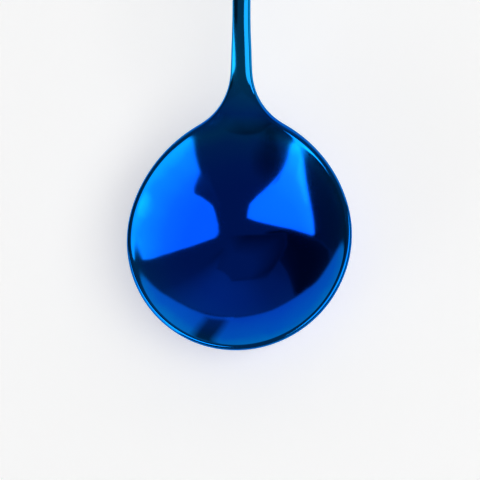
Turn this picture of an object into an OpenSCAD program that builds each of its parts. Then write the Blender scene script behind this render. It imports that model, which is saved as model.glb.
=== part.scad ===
// Cupping spoon: a round, deep bowl that flows through a hollow-sided neck into a slim arched handle.
// All of it is one blank of metal. The tip of the bowl points to -Y and the handle runs to +Y.
// It lies as on a table, on the bottom of the bowl, at the origin, and on the end of the handle.

/* [Bowl] */
// Diameter of the bowl
bowl_d = 46; // [41:0.5:52]
// Depth of the bowl below its rim, to the middle of the wall
bowl_depth = 10; // [8:0.25:12.5]
// Fullness of the bowl: 0 is a plain parabola, and more has a flatter floor and a steeper wall
bowl_fullness = 0; // [-0.1:0.05:0.4]
// Thickness of the bowl's wall
bowl_t = 1.4; // [0.9:0.1:1.8]
// Tilt of the rim, which is higher towards the handle
rim_tilt = 4; // [2:0.5:8]

/* [Shoulder and neck] */
// Angle round the bowl, from its tip, at which the round rim turns into the shoulder
shoulder_angle = 105; // [100:1:110]
// Radius of the shoulder's outline, which is flatter than the bowl
shoulder_r = 27; // [25:1:34]
// Radius of the hollow outline between the shoulder and the neck
neck_r = 12.5; // [9:0.5:16]
// Width of the neck, where the hollow outline ends
neck_w = 4.4; // [4:0.1:6]
// Taper of each edge of the neck, where the hollow outline ends
neck_taper = 1.5; // [0.5:0.5:4]
// Distance from the middle of the bowl at which its hollow has run out into the neck
runout_y = 33; // [30:0.5:38]

/* [Handle] */
// Overall length, from the tip of the bowl to the end of the handle
spoon_length = 165; // [150:1:185]
// Distance from the middle of the bowl to the slimmest point of the handle
waist_y = 46; // [43:1:52]
// Width of the handle at its slimmest point
waist_w = 3.7; // [3:0.1:4]
// Thickness of the handle at its slimmest point
waist_t = 2.6; // [2.2:0.1:3.4]
// Crown of each face at the slimmest point: how far it falls from its middle to its edges
waist_crown = 0.4; // [0.2:0.05:0.6]
// How far in from its edge the slimmest point is rounded off
waist_round = 0.4; // [0.3:0.1:1]
// Width of the handle at its broad end
end_w = 9.5; // [7:0.5:13]
// Thickness of the handle at its broad end
end_t = 2.2; // [1.5:0.1:2.5]
// How far in from its edge the broad end is rounded off
end_round = 2.6; // [1.4:0.1:3.4]

/* [Arch] */
// Distance from the middle of the bowl to the crest of the handle's arch
crest_y = 62; // [56:1:72]
// Height of the crest above the table, to the middle of the handle's thickness
crest_h = 21; // [18:0.5:24]
// Radius of the arch at its crest
crest_r = 70; // [50:5:120]
// Slope at which the end of the handle comes down to the table
end_slope = 8; // [2:1:12]

/* [Hidden] */

// Rows of facets across the bowl and neck, along the handle and round its end; columns; rounding steps
bowl_rows = 38;
handle_rows = 40;
end_rows = 4;
columns = 20;
round_steps = 4;
rows = bowl_rows + handle_rows + end_rows;
// Angle off the centre line to which the first row reaches round the tip, and the last round the end
corner = 45;
// Step over which slopes are read
tiny = 0.01;

// Slope of the wall under the rim, and radius at which the middle of the wall ends inside its rounding
wall_angle = atan(4 * bowl_depth * (1 + bowl_fullness) / bowl_d);
bowl_r = bowl_d / 2 - bowl_t / 2 * (1 - cos(wall_angle));
end_r = end_w / 2;
end_y = spoon_length - bowl_d / 2;
widest_y = end_y - end_r;
rim_rise = tan(rim_tilt);
end_fall = tan(end_slope);

function polar(a) = [sin(a), -cos(a)];
function unit(v) = v / norm(v);
function mix(a, b, t) = a + (b - a) * t;
function clamp(t) = max(0, min(1, t));
function ease(t) = t ^ 3 * (6 * t ^ 2 - 15 * t + 10);
function blend(y, y0, y1, a, b) = mix(a, b, ease(clamp((y - y0) / (y1 - y0))));

// Smooth curve from y0 to y1, where a and b are its [value, slope, curvature] at the two ends
function curve(y, y0, y1, a, b) =
    let (d = y1 - y0, t = (y - y0) / d)
    mix(a[0], b[0], ease(t))
    + d * a[1] * (t - 6 * t ^ 3 + 8 * t ^ 4 - 3 * t ^ 5)
    + d * b[1] * (-4 * t ^ 3 + 7 * t ^ 4 - 3 * t ^ 5)
    + d ^ 2 / 2 * a[2] * (t ^ 2 - 3 * t ^ 3 + 3 * t ^ 4 - t ^ 5)
    + d ^ 2 / 2 * b[2] * (t ^ 3 - 2 * t ^ 4 + t ^ 5);

// Outline seen from above: tangent arcs round the bowl, the shoulder and the neck
shoulder_c = (bowl_r - shoulder_r) * polar(shoulder_angle);
neck_x = neck_w / 2 + neck_r * cos(neck_taper);
neck_angle = 180 - asin((neck_x - shoulder_c[0]) / (shoulder_r + neck_r));
neck_c = shoulder_c + (shoulder_r + neck_r) * polar(neck_angle);
shoulder_y = bowl_r * polar(shoulder_angle)[1];
hollow_y = shoulder_c[1] + shoulder_r * polar(neck_angle)[1];
neck_y = neck_c[1] - neck_r * sin(neck_taper);

// Half the width at a distance y from the middle of the bowl
function half_width(y) =
    y < shoulder_y ? sqrt(max(0, bowl_r ^ 2 - y ^ 2)) :
    y < hollow_y ? shoulder_c[0] + sqrt(shoulder_r ^ 2 - (y - shoulder_c[1]) ^ 2) :
    y < neck_y ? neck_c[0] - sqrt(neck_r ^ 2 - (y - neck_c[1]) ^ 2) :
    y < waist_y ? curve(y, neck_y, waist_y, [neck_w / 2, -tan(neck_taper), 0], [waist_w / 2, 0, 0]) :
    y < widest_y ? curve(y, waist_y, widest_y, [waist_w / 2, 0, 0], [end_r, 0, 0]) :
    sqrt(max(0, end_r ^ 2 - (y - widest_y) ^ 2));

// How far a point lies in from the outline
function edge_gap(x, y) =
    y < 0 ? bowl_r - norm([x, y]) :
    y > widest_y ? end_r - norm([x, y - widest_y]) :
    (half_width(y) - abs(x)) / norm([1, (half_width(y + tiny) - half_width(y - tiny)) / (2 * tiny)]);

// Hollow of the bowl: full depth in the middle, none along the rim, running out into the neck
function openness(x, y) =
    y < 0 ? 1 - (x ^ 2 + y ^ 2) / bowl_r ^ 2 :
    y < runout_y ? curve(y, 0, runout_y, [1, 0, -2 / bowl_r ^ 2], [0, 0, 0]) * (1 - (x / half_width(y)) ^ 2) :
    0;
function hollow(x, y) =
    let (open = openness(x, y)) bowl_depth * open * (1 + bowl_fullness * (1 - open));

// Where the tilted bowl touches the table, found from where its floor is level, and the rim's height
function level_y(y, n) =
    n == 0 ? y :
    level_y(-rim_rise * bowl_r ^ 2 / bowl_depth
        / (2 - 2 * bowl_fullness + 4 * bowl_fullness * (y / bowl_r) ^ 2), n - 1);
rest_y = level_y(0, 8);
rim_z = bowl_t / 2 + hollow(0, rest_y) - rest_y * rim_rise;

// Side profile of the edge: the straight rim, the arch and the run down to the table
land_y = end_y - end_round;
land_z = norm([end_t / 2 * cos(end_slope), end_round * end_fall]);
function edge_z(y) =
    y < shoulder_y ? rim_z + y * rim_rise :
    y < crest_y ?
        curve(y, shoulder_y, crest_y, [rim_z + shoulder_y * rim_rise, rim_rise, 0], [crest_h, 0, -1 / crest_r]) :
    y < land_y ? curve(y, crest_y, land_y, [crest_h, 0, -1 / crest_r], [land_z, -end_fall, 0]) :
    land_z - (y - land_y) * end_fall;

// Middle of the metal's thickness, and the direction square to it
function mid_z(x, y) = edge_z(y) - hollow(x, y);
function square_to(x, y) = unit([
    mid_z(x - tiny, y) - mid_z(x + tiny, y),
    mid_z(x, y - tiny) - mid_z(x, y + tiny),
    2 * tiny]);

// Thickness of the metal, how far each crowned face falls to the edge, and how far in the edge is
// rounded off
function thickness(y) =
    y < waist_y ? blend(y, shoulder_y, waist_y, bowl_t, waist_t) :
    blend(y, waist_y, widest_y, waist_t, end_t);
function crown(y) =
    y < waist_y ? blend(y, hollow_y, neck_y, 0, waist_crown) :
    blend(y, waist_y, widest_y, waist_crown, 0);
function rounding(y) =
    y < waist_y ? blend(y, hollow_y, waist_y, bowl_t / 2 * cos(wall_angle), waist_round) :
    blend(y, waist_y, widest_y, waist_round, end_round);
function inset(y) = min(rounding(y), 0.6 * half_width(max(0, min(widest_y, y))));

// Point of the skin above (side 1) or below (side -1) a plan point
function skin(p, side) =
    let (
        x = p[0],
        y = p[1],
        full = sqrt(1 - (1 - clamp(edge_gap(x, y) / rounding(y))) ^ 2),
        fall = crown(y) * clamp(abs(x) / max(tiny, half_width(y))) ^ 2
    )
    [x, y, mid_z(x, y)] + side * full * (thickness(y) / 2 - fall) * square_to(x, y);

// Right-hand edge at row i, as [point, outward direction]
arcs = [
    bowl_r * (shoulder_angle - corner),
    shoulder_r * (neck_angle - shoulder_angle),
    neck_r * (neck_angle - 90 - neck_taper)];
function bowl_edge(a) = [bowl_r * polar(a), polar(a)];
function shoulder_edge(a) = [shoulder_c + shoulder_r * polar(a), polar(a)];
function neck_edge(a) = [neck_c - neck_r * polar(a), polar(a)];
function arc_edge(s) =
    s < arcs[0] ? bowl_edge(corner + s / bowl_r) :
    s < arcs[0] + arcs[1] ? shoulder_edge(shoulder_angle + (s - arcs[0]) / shoulder_r) :
    neck_edge(neck_angle - (s - arcs[0] - arcs[1]) / neck_r);
function side_edge(y) =
    [[half_width(y), y], unit([2 * tiny, half_width(y - tiny) - half_width(y + tiny)])];
function end_edge(a) = [[0, widest_y] + end_r * [sin(a), cos(a)], [sin(a), cos(a)]];
function row_edge(i) =
    i <= bowl_rows ? arc_edge(i / bowl_rows * (arcs[0] + arcs[1] + arcs[2])) :
    i <= bowl_rows + handle_rows ? side_edge(mix(neck_y, widest_y, (i - bowl_rows) / handle_rows)) :
    end_edge(90 - (i - bowl_rows - handle_rows) / end_rows * (90 - corner));

// Where row i crosses the centre line
function row_mid(i) =
    i <= bowl_rows ? mix(inset(0) - bowl_r, neck_y, i / bowl_rows) :
    i <= bowl_rows + handle_rows ? mix(neck_y, widest_y, (i - bowl_rows) / handle_rows) :
    mix(widest_y, end_y - inset(widest_y), (i - bowl_rows - handle_rows) / end_rows);

// Plan point at row i and column j: each row is an arc from edge to edge through its crossing
function across(j) = (2 * j / columns - 1) * corner;
function plan(i, j) =
    let (
        edge = row_edge(i),
        last = edge[0] - inset(edge[0][1]) * edge[1],
        x = last[0] * sin(across(j)) / sin(corner),
        bow = last[1] - row_mid(i),
        k = 2 * bow / (last[0] ^ 2 + bow ^ 2)
    )
    [x, row_mid(i) + k * x ^ 2 / (1 + sqrt(1 - (k * x) ^ 2))];

// The border of that grid, walked once round from the left of the tip, as [row, column]
border_n = 2 * (rows + columns);
function border(b) =
    let (n = b % border_n)
    n < columns ? [0, n] :
    n < columns + rows ? [n - columns, columns] :
    n < 2 * columns + rows ? [rows, 2 * columns + rows - n] :
    [border_n - n, 0];
function mirrored(edge) = [for (v = edge) [-v[0], v[1]]];
function border_edge(b) =
    let (i = border(b)[0], j = border(b)[1])
    i == 0 ? bowl_edge(across(j)) :
    i == rows ? end_edge(across(j)) :
    j == 0 ? mirrored(row_edge(i)) :
    row_edge(i);

// Plan point on step k of the rounding, from 0 on the outline to round_steps on the grid's border
function round_plan(k, b) =
    let (
        edge = border_edge(b),
        r = rounding(edge[0][1]),
        turn = acos(1 - inset(edge[0][1]) / r)
    )
    edge[0] - r * (1 - cos(turn * k / round_steps)) * edge[1];

// Numbers of the skin's points
grid_n = (rows + 1) * (columns + 1);
function grid_id(side, i, j) = (side > 0 ? 0 : grid_n) + i * (columns + 1) + j;
function round_id(side, k, b) =
    k == round_steps ? grid_id(side, border(b)[0], border(b)[1]) :
    k == 0 ? 2 * grid_n + b % border_n :
    2 * grid_n + (side > 0 ? k : k + round_steps - 1) * border_n + b % border_n;

// A four-sided patch as two triangles, cut from corner a to c or else from b to d
function facets(a, b, c, d, cut_ac) = cut_ac ? [[a, b, c], [a, c, d]] : [[a, b, d], [b, c, d]];
function facing(face, side) = side > 0 ? face : [face[2], face[1], face[0]];

module spoon() {
    sides = [1, -1];
    points = [
        for (side = sides, i = [0:rows], j = [0:columns]) skin(plan(i, j), side),
        for (b = [0:border_n - 1]) let (p = round_plan(0, b)) [p[0], p[1], mid_z(p[0], p[1])],
        for (side = sides, k = [1:round_steps - 1], b = [0:border_n - 1]) skin(round_plan(k, b), side)];
    faces = [
        for (side = sides, i = [0:rows - 1], j = [0:columns - 1])
            let (toward_tip = i < bowl_rows + handle_rows, left = j < columns / 2)
            for (f = facets(grid_id(side, i, j), grid_id(side, i + 1, j), grid_id(side, i + 1, j + 1),
                    grid_id(side, i, j + 1), toward_tip == left))
                facing(f, side),
        for (side = sides, k = [0:round_steps - 1], b = [0:border_n - 1])
            let (right = b >= columns / 2 && b < rows + 1.5 * columns)
            for (f = facets(round_id(side, k, b), round_id(side, k + 1, b), round_id(side, k + 1, b + 1),
                    round_id(side, k, b + 1), right))
                facing(f, side)];
    color("#0a4fd0") translate([0, -rest_y, 0]) polyhedron(points, faces, convexity = 6);
}

spoon();
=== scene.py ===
"""Looks of the cupping spoon: one piece of mirror-polished steel with a deep blue coating.

It lies on a pale table and is seen from above, a little from the bowl's side. What gives the
mirror its shape is what it reflects: two softboxes, the table and the bright sweep behind the
handle, with a dark stand before it, and the dim studio and black flags between them.
"""

import math

import bmesh
import bpy
from mathutils import Matrix, Vector


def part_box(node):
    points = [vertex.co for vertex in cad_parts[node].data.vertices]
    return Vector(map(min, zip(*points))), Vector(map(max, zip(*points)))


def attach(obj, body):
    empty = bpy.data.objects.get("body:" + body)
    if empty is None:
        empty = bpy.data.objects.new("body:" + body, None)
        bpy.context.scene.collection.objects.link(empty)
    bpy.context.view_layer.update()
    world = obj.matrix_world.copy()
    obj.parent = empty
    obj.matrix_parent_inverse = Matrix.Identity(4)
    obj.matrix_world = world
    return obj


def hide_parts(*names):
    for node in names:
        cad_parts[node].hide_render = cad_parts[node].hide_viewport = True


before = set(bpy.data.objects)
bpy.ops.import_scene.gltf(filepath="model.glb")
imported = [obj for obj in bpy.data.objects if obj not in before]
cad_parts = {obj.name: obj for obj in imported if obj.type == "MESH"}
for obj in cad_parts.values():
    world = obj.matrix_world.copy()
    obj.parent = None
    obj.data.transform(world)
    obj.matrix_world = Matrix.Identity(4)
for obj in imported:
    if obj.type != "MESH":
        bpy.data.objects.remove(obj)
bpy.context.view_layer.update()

# Photograph: its width in pixels, where the middle of the bowl's rim is in it, and how wide
# the view is there
PICTURE_PX = 480
RIM_MIDDLE_PX = (237.7, 235.7)
VIEW_WIDTH = 0.0963
# The camera, seen from the bowl: leaning to the right of straight up and towards the bowl's tip
LEAN_RIGHT_DEG = 10.3
LEAN_TO_TIP_DEG = 14.8
TURN_DEG = -2.6
CAMERA_DISTANCE = 0.55

# Middle of the bowl's rim: across and along from the spoon's own box, and the rim's height there
RIM_HEIGHT = 0.0114
spoon_low, spoon_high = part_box("spoon")
rim_radius = (spoon_high.x - spoon_low.x) / 2
RIM_MIDDLE = Vector((0, spoon_low.y + rim_radius, RIM_HEIGHT))
# Where the bowl's hollow runs out into the neck, a little to the right
NECK = RIM_MIDDLE + Vector((0.005, 0.0235, 0.0025))

# Skin: points this near are one, and the bend and skew up to which two facets are paired
SAME_POINT = 1e-6
PAIR_BEND_DEG = 60
PAIR_SKEW_DEG = 120
SMOOTH_STEPS = 2

# How far out from the bowl's middle the mirror turns less than the wall, and by what depth in all
MIRROR_REACH = 0.034
MIRROR_DEPTH = 0.0017
# The coating's clouds: how many to a metre, and how far they shift its tone in or out
CLOUDS = 150
CLOUD_SHIFT = 0.003
# Distances from the bowl's middle between which the coating's tone changes, and its colours
# at shares of that way
TONE_FROM = 0.0135
TONE_TO = 0.0335
TONES = (
    (0, (0.0005, 0.045, 0.5)),
    (0.2, (0.0008, 0.056, 0.52)),
    (0.4, (0.0008, 0.085, 0.52)),
    (0.5, (0.0008, 0.14, 0.52)),
    (0.64, (0.0008, 0.085, 0.52)),
    (1, (0.004, 0.21, 0.55)),
)
# Colour of what it mirrors at a grazing angle
EDGE_TINT = (0.35, 0.85, 1)
# Polishing marks: how many to a metre across and along the spoon, their relief and gloss
MARKS_ACROSS = 9000
MARKS_ALONG = 300
MARK_DEPTH = 0.00002
SMOOTHEST = 0.05
ROUGHEST = 0.1

# Table: its grey, and the light added where it is seen
TABLE_GREY = 0.78
TABLE_LIFT = 0.49
TABLE_HALF_WIDTH = 6
# Brightness of the unlit studio
STUDIO = 0.14


# Spoon

def smooth_spoon(cad_node):
    """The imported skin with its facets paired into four-sided faces and smoothed."""
    bm = bmesh.new()
    bm.from_mesh(cad_node.data)
    bmesh.ops.remove_doubles(bm, verts=bm.verts, dist=SAME_POINT)
    bmesh.ops.join_triangles(
        bm,
        faces=bm.faces,
        angle_face_threshold=math.radians(PAIR_BEND_DEG),
        angle_shape_threshold=math.radians(PAIR_SKEW_DEG),
    )
    mesh = bpy.data.meshes.new("blue_spoon")
    bm.to_mesh(mesh)
    bm.free()
    mesh.shade_smooth()
    piece = bpy.data.objects.new("blue_spoon", mesh)
    bpy.context.scene.collection.objects.link(piece)
    rounder = piece.modifiers.new("smooth skin", "SUBSURF")
    rounder.levels = SMOOTH_STEPS
    rounder.render_levels = SMOOTH_STEPS
    return piece


# Finishes

def link(material, output, target):
    material.node_tree.links.new(output, target)


def blue_mirror():
    """Polished steel under a blue coating that turns teal towards the rim and along the handle."""
    material = bpy.data.materials.new("blue mirror coating")
    material.use_nodes = True
    nodes = material.node_tree.nodes
    shader = nodes["Principled BSDF"]
    shader.inputs["Metallic"].default_value = 1
    shader.inputs["Specular Tint"].default_value = (*EDGE_TINT, 1)

    place = nodes.new("ShaderNodeTexCoord")

    # Distance from the middle of the bowl, seen from above
    from_middle = nodes.new("ShaderNodeVectorMath")
    from_middle.operation = "SUBTRACT"
    from_middle.inputs[1].default_value = (RIM_MIDDLE.x, RIM_MIDDLE.y, 0)
    link(material, place.outputs["Object"], from_middle.inputs[0])
    level = nodes.new("ShaderNodeVectorMath")
    level.operation = "MULTIPLY"
    level.inputs[1].default_value = (1, 1, 0)
    link(material, from_middle.outputs["Vector"], level.inputs[0])
    radius = nodes.new("ShaderNodeVectorMath")
    radius.operation = "LENGTH"
    link(material, level.outputs["Vector"], radius.inputs[0])

    # A broad, smooth relief: towards the rim the mirror turns a little less than the wall does
    flatter = nodes.new("ShaderNodeMapRange")
    flatter.interpolation_type = "SMOOTHSTEP"
    flatter.inputs["From Max"].default_value = MIRROR_REACH
    flatter.inputs["To Min"].default_value = MIRROR_DEPTH
    flatter.inputs["To Max"].default_value = 0
    link(material, radius.outputs["Value"], flatter.inputs["Value"])
    wall = nodes.new("ShaderNodeBump")
    wall.inputs["Strength"].default_value = 1
    wall.inputs["Distance"].default_value = 1
    link(material, flatter.outputs["Result"], wall.inputs["Height"])

    # Tone of the coating by distance from the bowl's middle: it changes towards the edge, with
    # clouds a few millimetres wide
    clouds = nodes.new("ShaderNodeTexNoise")
    clouds.inputs["Scale"].default_value = CLOUDS
    clouds.inputs["Detail"].default_value = 3
    link(material, place.outputs["Object"], clouds.inputs["Vector"])
    cloud_shift = nodes.new("ShaderNodeMath")
    cloud_shift.operation = "MULTIPLY_ADD"
    cloud_shift.inputs[1].default_value = CLOUD_SHIFT
    link(material, clouds.outputs["Fac"], cloud_shift.inputs[0])
    link(material, radius.outputs["Value"], cloud_shift.inputs[2])
    tone_share = nodes.new("ShaderNodeMapRange")
    tone_share.inputs["From Min"].default_value = TONE_FROM
    tone_share.inputs["From Max"].default_value = TONE_TO
    link(material, cloud_shift.outputs["Value"], tone_share.inputs["Value"])
    tone = nodes.new("ShaderNodeValToRGB")
    stops = tone.color_ramp.elements
    stops[0].color = (*TONES[0][1], 1)
    stops[1].color = (*TONES[-1][1], 1)
    for share, colour in TONES[1:-1]:
        stops.new(share).color = (*colour, 1)
    link(material, tone_share.outputs["Result"], tone.inputs["Fac"])
    link(material, tone.outputs["Color"], shader.inputs["Base Color"])

    # Hair-thin polishing marks along the spoon
    stretch = nodes.new("ShaderNodeMapping")
    stretch.inputs["Scale"].default_value = (MARKS_ACROSS, MARKS_ALONG, MARKS_ACROSS)
    link(material, place.outputs["Object"], stretch.inputs["Vector"])
    marks = nodes.new("ShaderNodeTexNoise")
    marks.inputs["Scale"].default_value = 1
    marks.inputs["Detail"].default_value = 4
    marks.inputs["Roughness"].default_value = 0.7
    link(material, stretch.outputs["Vector"], marks.inputs["Vector"])
    gloss = nodes.new("ShaderNodeMapRange")
    gloss.inputs["From Min"].default_value = 0.35
    gloss.inputs["From Max"].default_value = 0.75
    gloss.inputs["To Min"].default_value = SMOOTHEST
    gloss.inputs["To Max"].default_value = ROUGHEST
    link(material, marks.outputs["Fac"], gloss.inputs["Value"])
    link(material, gloss.outputs["Result"], shader.inputs["Roughness"])
    relief = nodes.new("ShaderNodeBump")
    relief.inputs["Strength"].default_value = 0.03
    relief.inputs["Distance"].default_value = MARK_DEPTH
    link(material, marks.outputs["Fac"], relief.inputs["Height"])
    link(material, wall.outputs["Normal"], relief.inputs["Normal"])
    link(material, relief.outputs["Normal"], shader.inputs["Normal"])
    return material


def pale_table():
    """Matt and even, and lifted to a clean white where it is seen, straight or in the mirror."""
    material = bpy.data.materials.new("pale table")
    material.use_nodes = True
    nodes = material.node_tree.nodes
    shader = nodes["Principled BSDF"]
    shader.inputs["Base Color"].default_value = (TABLE_GREY, TABLE_GREY, TABLE_GREY, 1)
    shader.inputs["Roughness"].default_value = 0.8
    shader.inputs["Specular IOR Level"].default_value = 0.1
    shader.inputs["Emission Color"].default_value = (1, 1, 1, 1)
    ray = nodes.new("ShaderNodeLightPath")
    straight_or_gloss = nodes.new("ShaderNodeMath")
    straight_or_gloss.operation = "MAXIMUM"
    link(material, ray.outputs["Is Camera Ray"], straight_or_gloss.inputs[0])
    link(material, ray.outputs["Is Glossy Ray"], straight_or_gloss.inputs[1])
    seen = nodes.new("ShaderNodeMath")
    seen.operation = "MAXIMUM"
    link(material, straight_or_gloss.outputs["Value"], seen.inputs[0])
    link(material, ray.outputs["Is Transmission Ray"], seen.inputs[1])
    lift = nodes.new("ShaderNodeMath")
    lift.operation = "MULTIPLY"
    lift.inputs[1].default_value = TABLE_LIFT
    link(material, seen.outputs["Value"], lift.inputs[0])
    link(material, lift.outputs["Value"], shader.inputs["Emission Strength"])
    return material


def glow():
    """White light of the strength that is stored in each point of a sheet."""
    material = bpy.data.materials.new("panel glow")
    material.use_nodes = True
    nodes = material.node_tree.nodes
    nodes.clear()
    strength = nodes.new("ShaderNodeAttribute")
    strength.attribute_name = "glow"
    light = nodes.new("ShaderNodeEmission")
    light.inputs["Color"].default_value = (1, 1, 1, 1)
    link(material, strength.outputs["Fac"], light.inputs["Strength"])
    output = nodes.new("ShaderNodeOutputMaterial")
    link(material, light.outputs["Emission"], output.inputs["Surface"])
    return material


# Stage

GLOW = glow()


def toward(azimuth, elevation):
    """Direction seen from the bowl: azimuth from the handle's side (+Y) towards +X, in degrees."""
    a = math.radians(azimuth)
    e = math.radians(elevation)
    return Vector((math.sin(a) * math.cos(e), math.cos(a) * math.cos(e), math.sin(e)))


def panel(name, columns, levels, distance, soft=2, surround=STUDIO, middle=RIM_MIDDLE,
          mirror_only=False):
    """Glowing sheet round a middle, spanned between two lines of directions in degrees.

    Each column is (azimuth, elevation) of its lower end, the same of its upper end, and a gain.
    Its brightness goes evenly through the levels from its lower to its upper end, times the
    gain, and fades into the surround over the soft border. The nearer of two sheets hides the
    other. A sheet for the mirror only neither lights the table nor shades it.
    """
    rows = len(levels) + 2
    bm = bmesh.new()
    bmesh.ops.create_grid(bm, x_segments=len(columns) - 1, y_segments=rows - 1, size=1)
    bright = bm.verts.layers.float.new("glow")
    bm.verts.ensure_lookup_table()
    for number, point in enumerate(bm.verts):
        row, column = divmod(number, len(columns))
        low, high = Vector(columns[column][:2]), Vector(columns[column][2:4])
        gain = columns[column][4]
        length = math.degrees(toward(*low).angle(toward(*high)))
        edge = min(soft / length, 0.5) / 2
        if row == 0:
            share = -edge
        elif row == rows - 1:
            share = 1 + edge
        else:
            share = edge + (row - 1) / (len(levels) - 1) * (1 - 2 * edge)
        point.co = middle + distance * toward(*low.lerp(high, share))
        inside = 0 < row < rows - 1 and 0 < column < len(columns) - 1
        point[bright] = levels[row - 1] * gain if inside else surround
    mesh = bpy.data.meshes.new(name)
    bm.to_mesh(mesh)
    bm.free()
    sheet = bpy.data.objects.new(name, mesh)
    sheet.data.materials.append(GLOW)
    bpy.context.scene.collection.objects.link(sheet)
    sheet.visible_camera = False
    sheet.visible_diffuse = not mirror_only
    sheet.visible_shadow = not mirror_only


def table():
    """Wide, level top under the bowl's lowest point."""
    bm = bmesh.new()
    bmesh.ops.create_grid(bm, x_segments=1, y_segments=1, size=TABLE_HALF_WIDTH)
    mesh = bpy.data.meshes.new("table")
    bm.to_mesh(mesh)
    bm.free()
    top = bpy.data.objects.new("table", mesh)
    top.data.materials.append(pale_table())
    bpy.context.scene.collection.objects.link(top)


def camera():
    """The photograph's view: over the bowl, leaning towards its tip and its right side."""
    lens = bpy.data.cameras.new("overhead camera")
    lens.sensor_width = 36
    lens.sensor_fit = "HORIZONTAL"
    lens.lens = lens.sensor_width * CAMERA_DISTANCE / VIEW_WIDTH
    back = Vector((
        math.tan(math.radians(LEAN_RIGHT_DEG)),
        -math.tan(math.radians(LEAN_TO_TIP_DEG)),
        1,
    )).normalized()
    turn = math.radians(TURN_DEG)
    right = Vector((math.sin(turn), math.cos(turn), 0)).cross(back).normalized()
    up = back.cross(right)
    px = VIEW_WIDTH / PICTURE_PX
    across = (PICTURE_PX / 2 - RIM_MIDDLE_PX[0]) * px
    down = (PICTURE_PX / 2 - RIM_MIDDLE_PX[1]) * px
    eye = bpy.data.objects.new("overhead camera", lens)
    bpy.context.scene.collection.objects.link(eye)
    place = RIM_MIDDLE + back * CAMERA_DISTANCE + right * across - up * down
    eye.matrix_world = Matrix.Translation(place) @ Matrix((right, up, back)).transposed().to_4x4()
    bpy.context.scene.camera = eye


spoon = smooth_spoon(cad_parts["spoon"])
spoon.data.materials.clear()
spoon.data.materials.append(blue_mirror())
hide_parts("spoon")
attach(spoon, "root")

table()

# Softboxes, their hottest parts, and the flag over a corner of the right one
panel(
    "right softbox",
    [
        (64.5, 30.7, 64.5, 32.8, 1), (65.9, 30.7, 65.8, 37.2, 1), (68.4, 30.6, 67.7, 43.2, 1),
        (71.9, 30.6, 71.1, 53.2, 1), (75.3, 30.6, 73.6, 60.1, 1), (80.3, 30.6, 78.1, 67.3, 1),
        (87.4, 30.5, 85, 73.1, 1), (97.9, 31.3, 96.1, 77.9, 1), (111.7, 34.3, 110.8, 79.1, 1),
        (123.3, 36.3, 127.6, 78.3, 1), (131.9, 37.5, 139.1, 75.4, 1),
        (137.7, 38.1, 145.1, 73.6, 1), (142.7, 38.5, 150.1, 69.6, 1),
        (147.6, 38.9, 154.1, 66, 1.05), (151.6, 38.9, 157.4, 59.5, 1.1),
        (154.7, 38.9, 159.6, 53.9, 1.15), (157.7, 38.9, 160.9, 49.4, 1.15),
        (160, 38.9, 161.5, 45.6, 1.15),
    ],
    levels=(2.9, 2.6, 2.4, 2.3, 2.25, 2.2, 2.2, 2.2, 2.2),
    distance=3,
    soft=1.5,
)
panel(
    "right hot spot",
    [
        (91.9, 31.3, 91.9, 33.9, 1), (96.9, 31.8, 96.9, 36, 1), (102.9, 32.5, 103, 37.8, 1),
        (109.8, 33.2, 109.9, 37.9, 1), (115.6, 34.5, 115.6, 37.2, 1),
    ],
    levels=(3.9, 4.2, 3.6),
    distance=2.95,
    soft=2.5,
    surround=2.7,
)
panel(
    "softbox corner flag",
    [
        (146.6, 50.5, 146.6, 51, 1), (149.4, 49.6, 150.9, 52.9, 1),
        (153.4, 48.4, 155.3, 56.6, 1), (157.3, 47.3, 158.4, 60.4, 1),
        (160.2, 46.7, 161.4, 60.3, 1), (166.2, 46.5, 167.4, 60.3, 1),
    ],
    levels=(0.2, 0.16, 0.16),
    distance=2.9,
    soft=1.5,
    surround=0.18,
)
panel(
    "left softbox",
    [
        (224.7, 30.1, 220.5, 38.2, 1), (225.9, 29.7, 214.8, 44.2, 1),
        (226.8, 29.7, 207.7, 50.6, 1), (228.6, 30, 203.3, 56.6, 1),
        (230.9, 30.4, 204.7, 62.6, 1), (234.4, 30.9, 208.7, 67, 1),
        (238.9, 31.2, 222.9, 66.3, 1), (244.4, 31.4, 237.2, 63, 1),
        (250.2, 31.5, 247.9, 58.4, 1), (257.1, 31.3, 256.3, 52.9, 1),
        (263.2, 31, 262.3, 46.9, 1), (269.4, 30.6, 268.3, 40.5, 0.95),
        (273, 30.1, 272.5, 34.5, 0.9), (275.1, 29.8, 274.9, 31.3, 0.9),
    ],
    levels=(4.2, 3.9, 3.7, 3.55, 3.4, 3.2),
    distance=3,
    soft=1.5,
    mirror_only=True,
)
panel(
    "left hot spot",
    [
        (228.2, 31.2, 227.6, 33.1, 1), (230.7, 31.1, 229.9, 34.6, 1),
        (234.4, 31.4, 233.5, 35.3, 1), (239.7, 31.9, 239.3, 35.5, 1),
        (246.2, 32.3, 246, 35.4, 1), (253.1, 32.1, 253, 34.3, 1),
    ],
    levels=(6.2, 5.6, 4.4),
    distance=2.95,
    surround=4,
    mirror_only=True,
)

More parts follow.
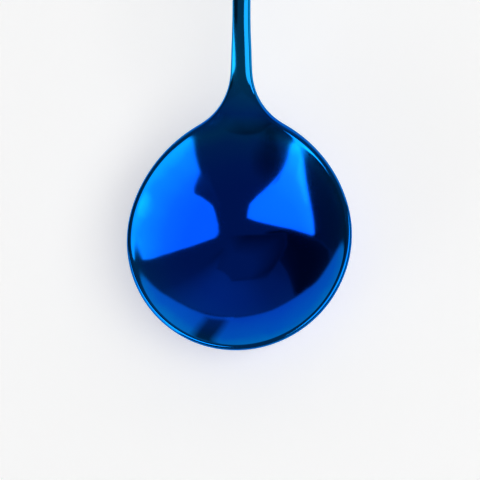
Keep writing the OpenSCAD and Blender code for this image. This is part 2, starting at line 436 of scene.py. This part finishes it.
# Bright card and sweep low round the spoon, and the dark stand before the sweep
panel(
    "low card",
    [
        (222, 4.8, 222.9, 27.7, 1), (224.9, 3.6, 225.3, 31, 1), (229.7, 2.3, 230, 29.5, 1),
        (233.4, 2.3, 233.9, 26.8, 1), (237.1, 2.2, 237.2, 25, 1),
        (242.5, 2.2, 242.9, 22.3, 0.95), (248.2, 1.1, 248.4, 19.7, 0.85),
        (254.7, 1.1, 254.9, 17.3, 0.75), (260.4, 1.1, 260.5, 15.1, 0.65),
        (266.4, 1.1, 266.4, 12.4, 0.55), (271.4, 1.1, 271.4, 10.5, 0.5),
        (276.4, 0.5, 276.4, 8.8, 0.45), (281.4, 0, 281.4, 7.5, 0.4),
        (285.4, 0, 285.4, 6.5, 0.4),
    ],
    levels=(2.4, 2.6, 2.6),
    distance=3.1,
    soft=1.5,
)
panel(
    "bright sweep",
    [
        (277.4, -0.2, 277.4, 6.4, 1), (281.4, -0.2, 281.4, 10.2, 1),
        (286.4, -0.2, 286.4, 12.2, 1), (290.4, -0.2, 290.4, 13.6, 1),
        (297.2, -0.2, 297.3, 15.2, 1), (301.4, -0.2, 301.5, 16.2, 1),
        (305.9, -0.2, 306, 18.1, 1), (311.4, -0.2, 311.6, 20.7, 1),
        (316.5, -0.2, 316.6, 22.6, 1), (328.5, -0.2, 328.6, 24.9, 1),
        (338.4, -0.2, 338.6, 27, 0.98), (348.4, -0.2, 348.5, 28.1, 0.96),
        (359.4, -0.2, 359.4, 28.8, 0.96), (369.8, -0.2, 369.8, 29.3, 1),
        (376.3, -0.2, 376.3, 30, 1.05), (385.2, -0.2, 385.2, 30.3, 1.1),
        (396.1, -0.2, 396.1, 29.4, 1.12), (401.1, -0.2, 401, 28.3, 1.12),
        (408.5, -0.2, 408.4, 27.4, 1.1), (414, -0.2, 414, 26.8, 1.06),
        (419, -0.2, 418.9, 26.3, 1.04), (421.5, -0.2, 421.4, 24.2, 1),
    ],
    levels=(0.92, 0.92, 0.89, 0.86),
    distance=3.3,
    soft=1.5,
)
panel(
    "dark stand",
    [
        (358.5, 8, 352.5, 27.5, 1), (363, 8, 358.5, 27.5, 1), (365.5, 8, 362, 27.5, 1),
        (368, 8, 366, 27.5, 1), (372.5, 8, 371.5, 27.5, 1),
    ],
    levels=(0.14, 0.1, 0.13, 0.17, 0.2),
    distance=3.2,
    soft=3,
    surround=0.88,
)

# Ceiling over the handle, and the flags that keep the rest of the bowl dark
panel(
    "dim ceiling",
    [
        (297.5, 17.9, 301.7, 83.9, 0.4), (304.5, 18.9, 307.8, 83.7, 0.46),
        (314.6, 22.7, 316.2, 83.7, 0.58), (324.6, 24.7, 325.6, 83.7, 0.62),
        (334.6, 26.5, 333.8, 83.7, 0.75), (344.6, 28.5, 341.4, 83.7, 0.88),
        (354.5, 29.3, 351.3, 83.7, 0.95), (364.4, 30.1, 360.1, 83.9, 1),
        (374.3, 30.5, 369.5, 84, 1), (384.2, 30.9, 379.3, 84.2, 0.92),
        (394.1, 30.3, 388.1, 84.2, 0.72), (404, 28.7, 397.1, 84.5, 0.48),
        (416, 27.4, 409.1, 84.5, 0.4),
    ],
    levels=(0.33, 0.33, 0.32, 0.29, 0.24, 0.18),
    distance=3.4,
    soft=3,
)
panel(
    "black flag",
    [
        (258.5, 55.1, 250.9, 64.7, 1), (262.5, 49.3, 256.2, 65.6, 1),
        (268.5, 42.2, 264.6, 65.7, 1), (274.6, 33.8, 273, 65.1, 1), (279.5, 25.4, 280, 63.7, 1),
        (284.5, 17.6, 286.8, 60.7, 1), (290.5, 14.8, 292.4, 55.9, 1),
        (296.5, 15.5, 298.1, 49.1, 1), (302.5, 17.3, 302.9, 41.1, 1),
        (307.5, 18.9, 307.7, 33.9, 1), (311.6, 20.6, 311.6, 27.5, 1),
        (314.1, 22.1, 314.1, 24.3, 1),
    ],
    levels=(0.04, 0.025, 0.025, 0.035, 0.06),
    distance=3.35,
)
panel(
    "side flag",
    [
        (222, 14, 222, 30, 1), (232, 10, 232, 31, 1), (245, 6, 245, 31, 1),
        (258, 3, 258, 31, 1), (270, 2, 270, 31, 1), (284, 1, 284, 31, 1), (290, 1, 290, 31, 1),
    ],
    levels=(0.06, 0.06),
    distance=3.6,
)
panel(
    "black front flag",
    [
        (191, 29.8, 190.9, 41.1, 1), (201.5, 27.8, 201.1, 42.2, 1),
        (212.7, 26.2, 208.7, 42.3, 1), (219, 24, 214.7, 41.2, 1), (223, 16.8, 221.1, 35, 1),
    ],
    levels=(0.04, 0.05),
    distance=3.35,
    soft=4,
)
panel(
    "neck flag",
    [
        (196, 46, 196, 74, 1), (206, 41, 206, 74, 1), (213, 37, 213, 74, 1),
        (221, 31, 222, 74, 1), (230, 35, 231, 74, 1), (242, 44, 243, 74, 1),
        (254, 50, 254, 74, 1),
    ],
    levels=(0.05, 0.17, 0.17),
    distance=0.035,
    soft=1,
    middle=NECK,
    mirror_only=True,
)

world = bpy.data.worlds.new("studio")
world.use_nodes = True
world.node_tree.nodes["Background"].inputs["Color"].default_value = (STUDIO, STUDIO, STUDIO, 1)
bpy.context.scene.world = world
bpy.context.scene.view_settings.view_transform = "Standard"
camera()
